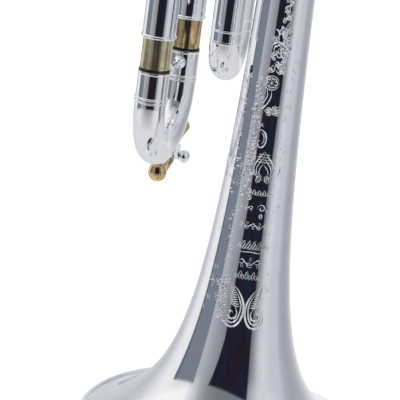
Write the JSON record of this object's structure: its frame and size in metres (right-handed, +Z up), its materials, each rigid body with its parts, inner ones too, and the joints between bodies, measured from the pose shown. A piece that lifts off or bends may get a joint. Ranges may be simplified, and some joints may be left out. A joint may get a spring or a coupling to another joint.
{
  "type": "trumpet",
  "caption": "Silver-plated piston-valve trumpet standing on its flared bell, with drawn main tuning slide, gold water key, valve slides and mouthpiece.",
  "frame": {"origin": "centre of the footprint box, on the plane that the bell's rim stands on; the bell's axis is the vertical line at x = 13.6 mm, y = -13.15 mm", "axes": "+Z up the bell's axis, from its mouth towards the player's end; -Y towards the valve buttons; -X towards the leadpipe, the player's right"},
  "size_m": [0.1462, 0.1536, 0.547],
  "materials": {
    "silver_plate": "bright silver plate over brass, polished to a mirror",
    "bare_brass": "unplated brass, drawn and lightly tarnished",
    "gold_plate": "polished gold plate",
    "piston_metal": "ground and lapped nickel alloy, satin",
    "spring_steel": "drawn wire",
    "guide_nylon": "moulded",
    "cork": "cut cork",
    "pearl": "polished mother-of-pearl"
  },
  "bodies": {
    "trumpet": {"bell": "silver_plate", "bell_tail_ferrule": "silver_plate", "leadpipe": "silver_plate", "mouthpiece_receiver": "silver_plate", "main_slide_upper_sleeve": "silver_plate", "main_slide_lower_sleeve": "silver_plate", "third_valve_elbow": "silver_plate", "pinky_hook": "silver_plate", "front_bell_brace": "silver_plate", "rear_bell_brace": "silver_plate", "bell_to_valve_brace": "silver_plate", "knuckle_third_to_second": "silver_plate", "knuckle_second_to_first": "silver_plate", "first_slide_sleeves": "silver_plate", "second_slide_sleeves": "silver_plate", "third_slide_sleeves": "silver_plate", "first_valve_casing": "silver_plate", "first_valve_top_cap": "silver_plate", "first_valve_bottom_cap": "silver_plate", "second_valve_casing": "silver_plate", "second_valve_top_cap": "silver_plate", "second_valve_bottom_cap": "silver_plate", "third_valve_casing": "silver_plate", "third_valve_top_cap": "silver_plate", "third_valve_bottom_cap": "silver_plate", "bell_rim_wire": "bare_brass", "first_valve_spring": "spring_steel", "first_valve_guide": "guide_nylon", "second_valve_spring": "spring_steel", "second_valve_guide": "guide_nylon", "third_valve_spring": "spring_steel", "third_valve_guide": "guide_nylon"},
    "main_slide": {"main_slide_crook": "silver_plate", "main_slide_upper_leg": "bare_brass", "main_slide_lower_leg": "bare_brass", "main_slide_upper_ferrule": "silver_plate", "main_slide_lower_ferrule": "silver_plate", "main_slide_brace": "silver_plate", "water_key_nipple": "silver_plate", "water_key_saddle": "silver_plate", "water_key_screw": "silver_plate", "water_key_spring": "spring_steel"},
    "water_key": {"water_key_lever": "gold_plate", "water_key_cork": "cork"},
    "first_valve": {"first_valve_piston": "piston_metal", "first_valve_button": "silver_plate", "first_button_pearl": "pearl"},
    "second_valve": {"second_valve_piston": "piston_metal", "second_valve_button": "silver_plate", "second_button_pearl": "pearl"},
    "third_valve": {"third_valve_piston": "piston_metal", "third_valve_button": "silver_plate", "third_button_pearl": "pearl"},
    "first_slide": {"first_slide_tube": "silver_plate", "thumb_saddle": "silver_plate"},
    "second_slide": {"second_slide_tube": "silver_plate", "second_slide_knob": "silver_plate"},
    "third_slide": {"third_slide_tube": "silver_plate", "third_slide_ring": "silver_plate"},
    "mouthpiece": {"mouthpiece": "silver_plate"}
  },
  "joints": [
    {"name": "main_slide_pull", "type": "slide", "parent": "trumpet", "child": "main_slide", "axis": [0, 0, -1], "range_m": [-0.0125, 0.035]},
    {"name": "water_key_press", "type": "hinge", "parent": "main_slide", "child": "water_key", "pos_m": [-0.02912, 0.02038, 0.10094], "axis": [0.9971, -0.0761, 0], "range_deg": [0, 14], "stiffness_Nm_per_rad": 0.01, "springref_deg": -34.38},
    {"name": "first_valve_press", "type": "slide", "parent": "trumpet", "child": "first_valve", "axis": [0, 1, 0], "range_m": [0, 0.017], "stiffness_N_per_m": 120, "springref_m": -0.01, "deforming": ["first_valve_spring"]},
    {"name": "second_valve_press", "type": "slide", "parent": "trumpet", "child": "second_valve", "axis": [0, 1, 0], "range_m": [0, 0.017], "stiffness_N_per_m": 120, "springref_m": -0.01, "deforming": ["second_valve_spring"]},
    {"name": "third_valve_press", "type": "slide", "parent": "trumpet", "child": "third_valve", "axis": [0, 1, 0], "range_m": [0, 0.017], "stiffness_N_per_m": 120, "springref_m": -0.01, "deforming": ["third_valve_spring"]},
    {"name": "first_slide_pull", "type": "slide", "parent": "trumpet", "child": "first_slide", "axis": [0, 0, 1], "range_m": [0, 0.018]},
    {"name": "second_slide_pull", "type": "slide", "parent": "trumpet", "child": "second_slide", "axis": [-1, 0, 0], "range_m": [0, 0.012]},
    {"name": "third_slide_pull", "type": "slide", "parent": "trumpet", "child": "third_slide", "axis": [0, 0, -1], "range_m": [0, 0.025]},
    {"name": "mouthpiece_pull", "type": "slide", "parent": "trumpet", "child": "mouthpiece", "axis": [0, 0, 1], "range_m": [0, 0.022]}
  ]
}
